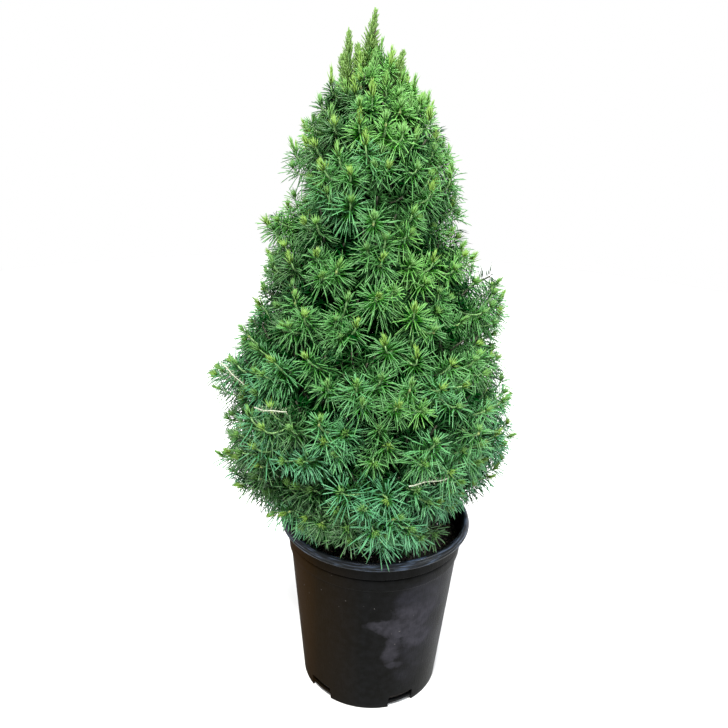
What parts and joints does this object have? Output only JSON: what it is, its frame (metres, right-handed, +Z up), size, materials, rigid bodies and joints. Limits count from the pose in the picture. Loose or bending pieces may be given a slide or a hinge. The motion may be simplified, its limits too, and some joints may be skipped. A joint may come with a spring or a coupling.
{
  "type": "potted dwarf spruce",
  "caption": "Young dwarf conifer with a dense, conical crown of short needles, growing in a round tapered plastic nursery pot filled with potting mix.",
  "frame": {"origin": "centre of the pot's flat underside, on the surface it stands on", "axes": "+Z up along the pot's axis; -Y towards the side that is shown as the front; +X to the right of it"},
  "size_m": [0.2537, 0.239, 0.5715],
  "materials": {
    "pot_plastic": "satin black moulded plastic with dried water marks",
    "potting_mix": "damp bark and peat mix, rough",
    "bark": "rough, scaly",
    "foliage": "waxy green needles"
  },
  "bodies": {
    "root": {"bough_high_1": "bark", "bough_high_2": "bark", "bough_high_3": "bark", "bough_high_4": "bark", "bough_low_1": "bark", "bough_low_2": "bark", "bough_low_3": "bark", "bough_low_4": "bark", "bough_low_5": "bark", "bough_middle_1": "bark", "bough_middle_2": "bark", "bough_middle_3": "bark", "bough_middle_4": "bark", "bough_middle_5": "bark", "bough_skirt_1": "bark", "bough_skirt_2": "bark", "bough_skirt_3": "bark", "bough_skirt_4": "bark", "bough_skirt_5": "bark", "bough_top_1": "bark", "bough_top_2": "bark", "bough_top_3": "bark", "bough_upper_1": "bark", "bough_upper_2": "bark", "bough_upper_3": "bark", "bough_upper_4": "bark", "foliage_apex": "foliage", "foliage_high_1": "foliage", "foliage_high_2": "foliage", "foliage_high_3": "foliage", "foliage_high_4": "foliage", "foliage_low_1": "foliage", "foliage_low_2": "foliage", "foliage_low_3": "foliage", "foliage_low_4": "foliage", "foliage_low_5": "foliage", "foliage_middle_1": "foliage", "foliage_middle_2": "foliage", "foliage_middle_3": "foliage", "foliage_middle_4": "foliage", "foliage_middle_5": "foliage", "foliage_skirt_1": "foliage", "foliage_skirt_2": "foliage", "foliage_skirt_3": "foliage", "foliage_skirt_4": "foliage", "foliage_skirt_5": "foliage", "foliage_top_1": "foliage", "foliage_top_2": "foliage", "foliage_top_3": "foliage", "foliage_upper_1": "foliage", "foliage_upper_2": "foliage", "foliage_upper_3": "foliage", "foliage_upper_4": "foliage", "leader": "foliage", "leader_left": "foliage", "leader_right": "foliage", "pot": "pot_plastic", "potting_mix": "potting_mix", "trunk": "bark"}
  },
  "joints": []
}
